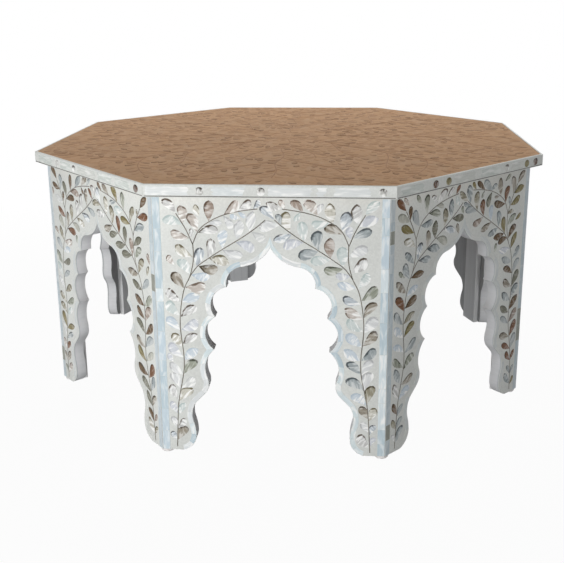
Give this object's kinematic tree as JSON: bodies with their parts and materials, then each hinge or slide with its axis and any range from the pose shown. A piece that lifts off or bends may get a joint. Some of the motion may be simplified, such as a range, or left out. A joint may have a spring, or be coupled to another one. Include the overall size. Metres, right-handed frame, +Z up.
{
  "type": "octagonal inlay table",
  "caption": "Low octagonal coffee table with pointed multifoil arches between its legs and shell inlay vines on cream faces under a tan inlaid top.",
  "frame": {"origin": "on the floor under the middle of the top", "axes": "+Z up; side 1 faces -Y, and the sides are numbered anticlockwise seen from above"},
  "size_m": [0.914, 0.914, 0.457],
  "materials": {
    "bare_wood": "bare sanded board",
    "grey_paint": "thin matt grey paint on board",
    "cream_shell_inlay": "polished shell chips set in cream resin",
    "tan_shell_inlay": "polished shell chips set in tan resin",
    "white_nylon": "moulded white nylon",
    "zinc_plated_steel": "yellow zinc plate"
  },
  "bodies": {
    "root": {"top_board": "bare_wood", "top_inlay_field": "tan_shell_inlay", "edge_strip_1": "cream_shell_inlay", "edge_strip_2": "cream_shell_inlay", "edge_strip_3": "cream_shell_inlay", "edge_strip_4": "cream_shell_inlay", "edge_strip_5": "cream_shell_inlay", "edge_strip_6": "cream_shell_inlay", "edge_strip_7": "cream_shell_inlay", "edge_strip_8": "cream_shell_inlay", "side_panel_1": "grey_paint", "side_panel_2": "grey_paint", "side_panel_3": "grey_paint", "side_panel_4": "grey_paint", "side_panel_5": "grey_paint", "side_panel_6": "grey_paint", "side_panel_7": "grey_paint", "side_panel_8": "grey_paint", "inlay_face_1": "cream_shell_inlay", "inlay_face_2": "cream_shell_inlay", "inlay_face_3": "cream_shell_inlay", "inlay_face_4": "cream_shell_inlay", "inlay_face_5": "cream_shell_inlay", "inlay_face_6": "cream_shell_inlay", "inlay_face_7": "cream_shell_inlay", "inlay_face_8": "cream_shell_inlay", "corner_post_1": "grey_paint", "corner_post_2": "grey_paint", "corner_post_3": "grey_paint", "corner_post_4": "grey_paint", "corner_post_5": "grey_paint", "corner_post_6": "grey_paint", "corner_post_7": "grey_paint", "corner_post_8": "grey_paint", "foot_pad_1": "white_nylon", "foot_pad_2": "white_nylon", "foot_pad_3": "white_nylon", "foot_pad_4": "white_nylon", "foot_pad_5": "white_nylon", "foot_pad_6": "white_nylon", "foot_pad_7": "white_nylon", "foot_pad_8": "white_nylon", "top_cleat_1": "bare_wood", "top_cleat_2": "bare_wood", "top_cleat_3": "bare_wood", "top_cleat_4": "bare_wood", "top_cleat_5": "bare_wood", "top_cleat_6": "bare_wood", "top_cleat_7": "bare_wood", "top_cleat_8": "bare_wood", "cleat_screw_1": "zinc_plated_steel", "cleat_screw_2": "zinc_plated_steel", "cleat_screw_3": "zinc_plated_steel", "cleat_screw_4": "zinc_plated_steel", "cleat_screw_5": "zinc_plated_steel", "cleat_screw_6": "zinc_plated_steel", "cleat_screw_7": "zinc_plated_steel", "cleat_screw_8": "zinc_plated_steel"}
  },
  "joints": []
}
